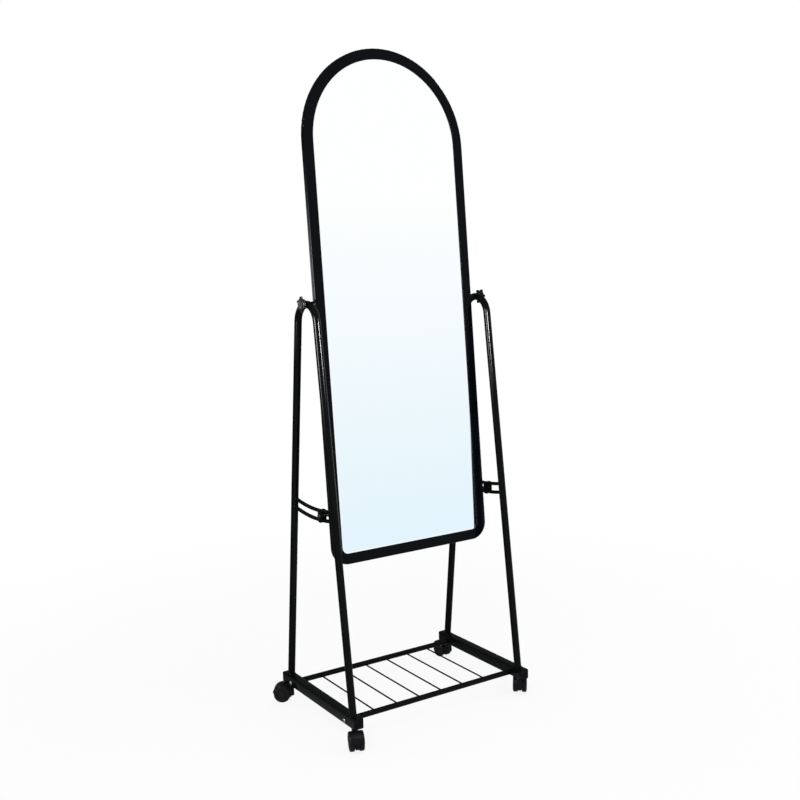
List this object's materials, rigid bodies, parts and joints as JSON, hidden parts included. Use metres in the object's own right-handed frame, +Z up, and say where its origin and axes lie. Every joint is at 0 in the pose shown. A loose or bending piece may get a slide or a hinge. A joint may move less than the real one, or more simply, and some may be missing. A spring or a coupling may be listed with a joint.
{
  "type": "rolling floor mirror",
  "caption": "Full-length arched mirror that tilts between two tubular hoops, on a wheeled base with a wire shelf and twin-wheel swivel casters.",
  "frame": {"origin": "on the floor, under the middle of the base, halfway between the hoops and halfway between the front and back swivel axes", "axes": "+Z up; +X to the right of someone facing the mirror; the reflecting side faces -Y"},
  "size_m": [0.5152, 0.3677, 1.438],
  "materials": {
    "frame_enamel": "gloss black enamel",
    "tube_enamel": "semi-gloss black powder coat",
    "black_plastic": "moulded, satin",
    "knob_plastic": "moulded, matt grey-black",
    "caster_plastic": "moulded, satin",
    "wheel_plastic": "moulded nylon",
    "zinc_steel": "zinc plated",
    "blackened_steel": "black zinc plated",
    "mirror_glass": "silvered",
    "foam": "closed-cell foam sheet",
    "fibreboard": "plain fibreboard"
  },
  "bodies": {
    "stand": {"left_hoop": "tube_enamel", "right_hoop": "tube_enamel", "left_upper_guide": "tube_enamel", "left_lower_guide": "tube_enamel", "right_upper_guide": "tube_enamel", "right_lower_guide": "tube_enamel", "left_base_bar": "tube_enamel", "right_base_bar": "tube_enamel", "front_left_end_cap": "black_plastic", "back_left_end_cap": "black_plastic", "front_right_end_cap": "black_plastic", "back_right_end_cap": "black_plastic", "front_shelf_rail": "tube_enamel", "back_shelf_rail": "tube_enamel", "shelf_wires": "tube_enamel", "rail_plugs": "black_plastic", "rail_screws": "zinc_steel", "caster_nuts": "zinc_steel", "caster_stems": "zinc_steel"},
    "mirror": {"mirror_frame": "frame_enamel", "mirror_glass": "mirror_glass", "foam_pad": "foam", "backing_board": "fibreboard", "retaining_clips": "tube_enamel", "clip_screws": "zinc_steel", "frame_nuts": "zinc_steel", "left_pivot_bolt": "zinc_steel", "right_pivot_bolt": "zinc_steel", "left_pivot_spacer": "black_plastic", "right_pivot_spacer": "black_plastic", "pivot_washers": "zinc_steel", "left_slider_post": "black_plastic", "right_slider_post": "black_plastic", "left_slider_bush": "black_plastic", "right_slider_bush": "black_plastic", "left_inner_slider_plate": "tube_enamel", "right_inner_slider_plate": "tube_enamel", "left_outer_slider_plate": "tube_enamel", "right_outer_slider_plate": "tube_enamel", "left_slider_bolt": "blackened_steel", "right_slider_bolt": "blackened_steel"},
    "left_knob": {"left_pivot_knob": "knob_plastic"},
    "right_knob": {"right_pivot_knob": "knob_plastic"},
    "front_left_caster": {"front_left_caster_hood": "caster_plastic", "front_left_caster_axle": "zinc_steel"},
    "front_left_wheel_1": {"front_left_caster_wheel_1": "wheel_plastic"},
    "front_left_wheel_2": {"front_left_caster_wheel_2": "wheel_plastic"},
    "back_left_caster": {"back_left_caster_hood": "caster_plastic", "back_left_caster_axle": "zinc_steel"},
    "back_left_wheel_1": {"back_left_caster_wheel_1": "wheel_plastic"},
    "back_left_wheel_2": {"back_left_caster_wheel_2": "wheel_plastic"},
    "front_right_caster": {"front_right_caster_hood": "caster_plastic", "front_right_caster_axle": "zinc_steel"},
    "front_right_wheel_1": {"front_right_caster_wheel_1": "wheel_plastic"},
    "front_right_wheel_2": {"front_right_caster_wheel_2": "wheel_plastic"},
    "back_right_caster": {"back_right_caster_hood": "caster_plastic", "back_right_caster_axle": "zinc_steel"},
    "back_right_wheel_1": {"back_right_caster_wheel_1": "wheel_plastic"},
    "back_right_wheel_2": {"back_right_caster_wheel_2": "wheel_plastic"}
  },
  "joints": [
    {"name": "mirror_tilt", "type": "hinge", "parent": "stand", "child": "mirror", "pos_m": [0, 0, 0.9035], "axis": [1, 0, 0], "range_deg": [-4.5, 13.5]},
    {"name": "left_knob_turn", "type": "hinge", "parent": "mirror", "child": "left_knob", "pos_m": [-0.23, 0, 0.9035], "axis": [-1, 0, 0], "range_deg": [0, 510]},
    {"name": "right_knob_turn", "type": "hinge", "parent": "mirror", "child": "right_knob", "pos_m": [0.23, 0, 0.9035], "axis": [1, 0, 0], "range_deg": [0, 510]},
    {"name": "front_left_swivel", "type": "hinge", "parent": "stand", "child": "front_left_caster", "pos_m": [-0.218, -0.142, 0.03], "axis": [0, 0, 1], "continuous": true},
    {"name": "front_left_wheel_1_spin", "type": "hinge", "parent": "front_left_caster", "child": "front_left_wheel_1", "pos_m": [-0.2253, -0.16008, 0.019], "axis": [0.9272, -0.3746, 0], "continuous": true},
    {"name": "front_left_wheel_2_spin", "type": "hinge", "parent": "front_left_caster", "child": "front_left_wheel_2", "pos_m": [-0.2253, -0.16008, 0.019], "axis": [0.9272, -0.3746, 0], "continuous": true},
    {"name": "back_left_swivel", "type": "hinge", "parent": "stand", "child": "back_left_caster", "pos_m": [-0.218, 0.142, 0.03], "axis": [0, 0, 1], "continuous": true},
    {"name": "back_left_wheel_1_spin", "type": "hinge", "parent": "back_left_caster", "child": "back_left_wheel_1", "pos_m": [-0.23397, 0.15318, 0.019], "axis": [-0.5736, -0.8192, 0], "continuous": true},
    {"name": "back_left_wheel_2_spin", "type": "hinge", "parent": "back_left_caster", "child": "back_left_wheel_2", "pos_m": [-0.23397, 0.15318, 0.019], "axis": [-0.5736, -0.8192, 0], "continuous": true},
    {"name": "front_right_swivel", "type": "hinge", "parent": "stand", "child": "front_right_caster", "pos_m": [0.218, -0.142, 0.03], "axis": [0, 0, 1], "continuous": true},
    {"name": "front_right_wheel_1_spin", "type": "hinge", "parent": "front_right_caster", "child": "front_right_wheel_1", "pos_m": [0.2313, -0.12774, 0.019], "axis": [-0.7314, 0.682, 0], "continuous": true},
    {"name": "front_right_wheel_2_spin", "type": "hinge", "parent": "front_right_caster", "child": "front_right_wheel_2", "pos_m": [0.2313, -0.12774, 0.019], "axis": [-0.7314, 0.682, 0], "continuous": true},
    {"name": "back_right_swivel", "type": "hinge", "parent": "stand", "child": "back_right_caster", "pos_m": [0.218, 0.142, 0.03], "axis": [0, 0, 1], "continuous": true},
    {"name": "back_right_wheel_1_spin", "type": "hinge", "parent": "back_right_caster", "child": "back_right_wheel_1", "pos_m": [0.218, 0.1615, 0.019], "axis": [-1, 0, 0], "continuous": true},
    {"name": "back_right_wheel_2_spin", "type": "hinge", "parent": "back_right_caster", "child": "back_right_wheel_2", "pos_m": [0.218, 0.1615, 0.019], "axis": [-1, 0, 0], "continuous": true}
  ]
}
